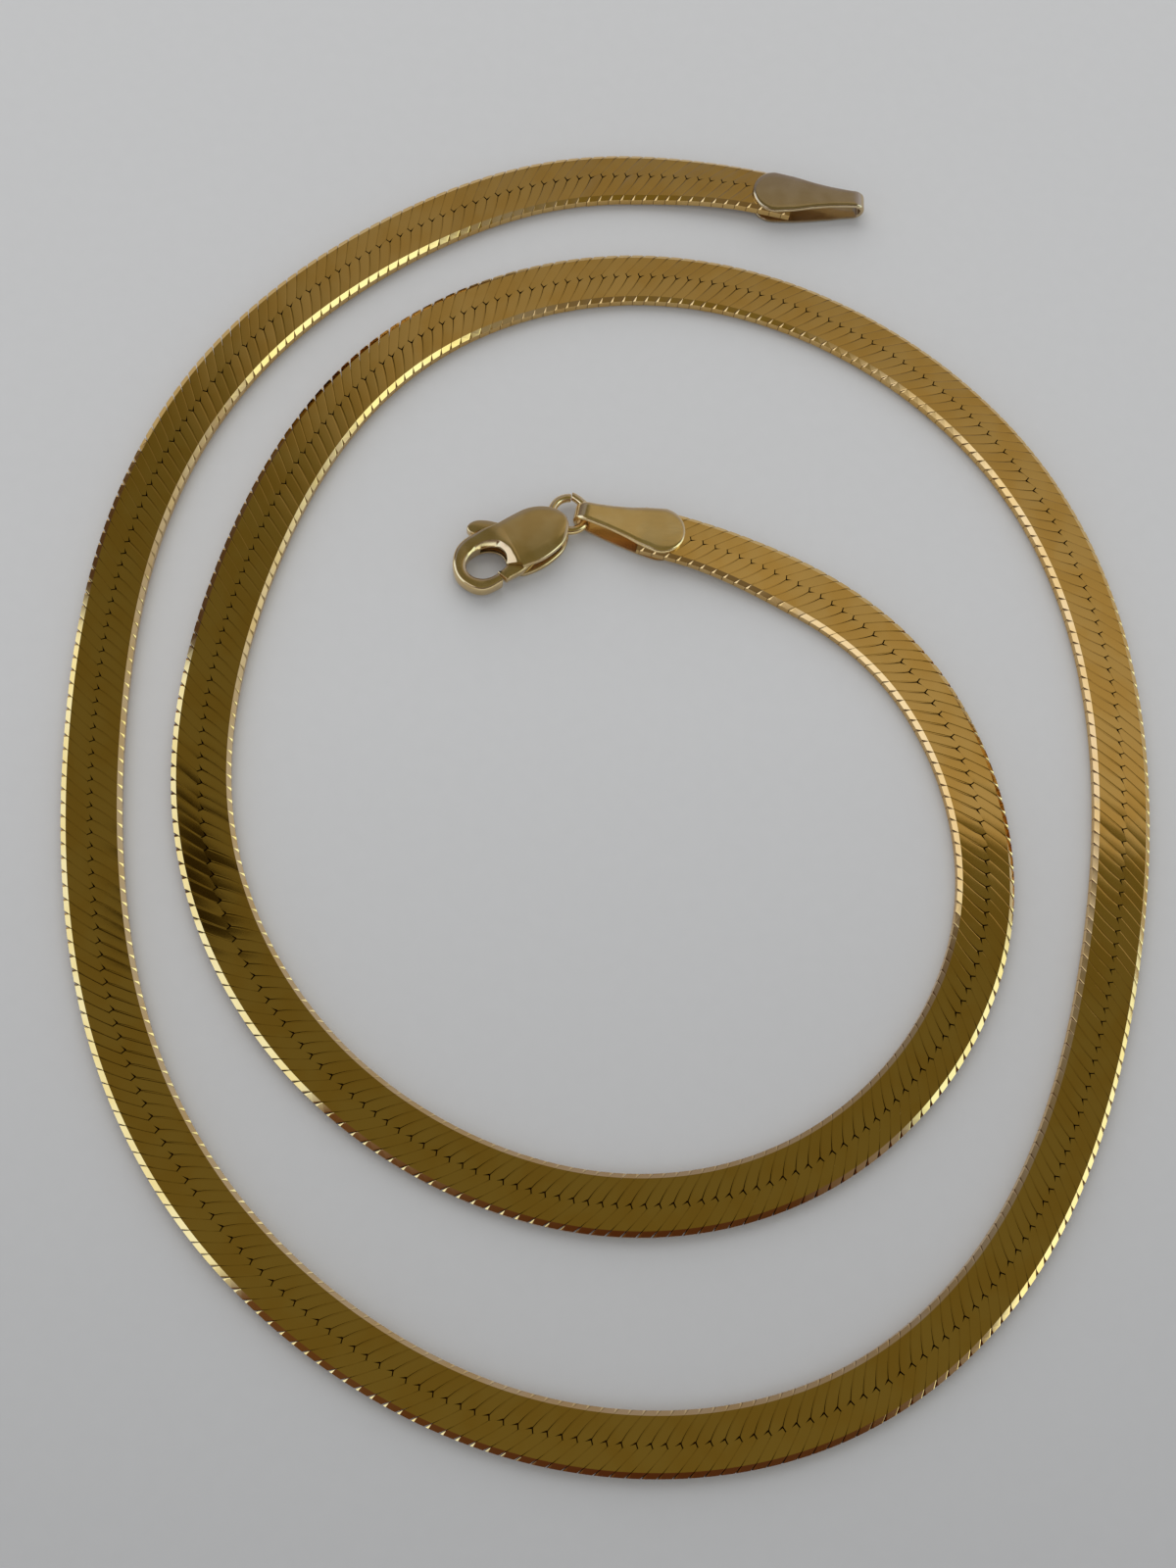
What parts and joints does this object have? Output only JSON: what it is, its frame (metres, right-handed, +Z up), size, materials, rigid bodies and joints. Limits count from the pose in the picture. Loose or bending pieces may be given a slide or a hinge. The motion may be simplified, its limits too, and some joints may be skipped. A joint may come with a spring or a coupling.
{
  "type": "herringbone neck chain",
  "caption": "Flat woven herringbone chain lying in an open spiral, with a folded end tab at each end, a jump ring and a sprung lobster clasp.",
  "frame": {"origin": "centre of the laid-out chain's bounding box, on the surface that it lies on", "axes": "+Z up from that surface, +Y away from the viewer along the spiral's long way, +X to the viewer's right"},
  "size_m": [0.0752, 0.0958, 0.002],
  "materials": {
    "woven_gold": "polished links with fine scratches",
    "polished_gold": "polished"
  },
  "bodies": {
    "necklace": {"herringbone_band": "woven_gold", "clasp_tab": "polished_gold", "tail_tab": "polished_gold", "jump_ring": "polished_gold", "clasp_body": "polished_gold", "clasp_pin": "polished_gold"},
    "lever": {"clasp_lever": "polished_gold"}
  },
  "joints": [
    {"name": "lever_pivot", "type": "hinge", "parent": "necklace", "child": "lever", "pos_m": [-0.00571, 0.01513, 0.00095], "axis": [0, 0, -1], "range_deg": [0, 20], "stiffness_Nm_per_rad": 0.002}
  ]
}
